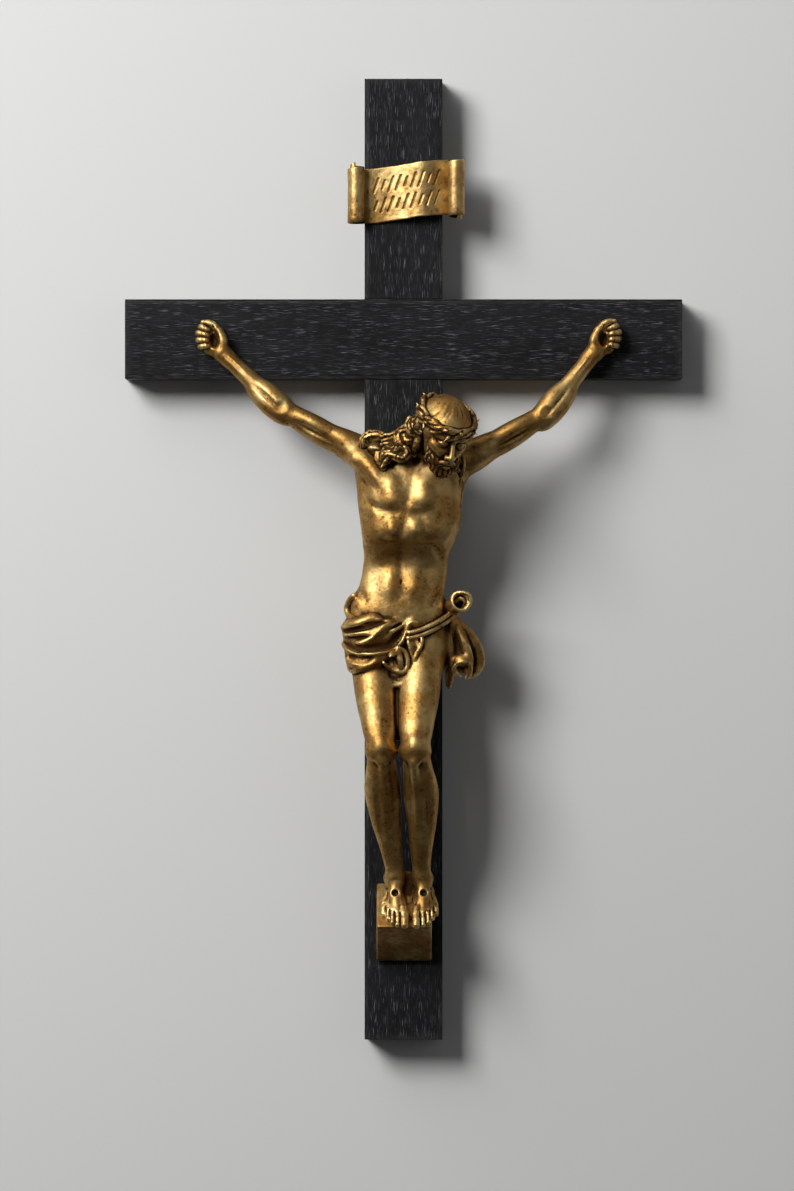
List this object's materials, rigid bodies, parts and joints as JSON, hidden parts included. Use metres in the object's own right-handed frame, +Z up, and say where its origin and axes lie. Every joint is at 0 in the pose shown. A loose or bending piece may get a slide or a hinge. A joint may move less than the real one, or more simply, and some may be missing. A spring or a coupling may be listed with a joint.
{
  "type": "wall crucifix with a cast corpus figure",
  "caption": "Wall crucifix: a cast corpus figure, an inscription scroll and a wedge foot block on a halved cross of blackened oak, with a hanging plate let into the back.",
  "frame": {"origin": "on the cross's back face, which lies on the wall, behind the crossing of the two boards' centre lines", "axes": "+X to the viewer's right, +Y into the wall, +Z up along the upright"},
  "size_m": [0.29, 0.0792, 0.5018],
  "materials": {
    "oak": "ebonised open-pored oak, dull satin",
    "cast_brass": "satin cast brass with brown-black patina in the recesses",
    "steel": "plain dull steel"
  },
  "bodies": {
    "root": {"upright": "oak", "crossbar": "oak", "corpus": "cast_brass", "titulus": "cast_brass", "foot_block": "cast_brass", "hanger": "steel"}
  },
  "joints": []
}
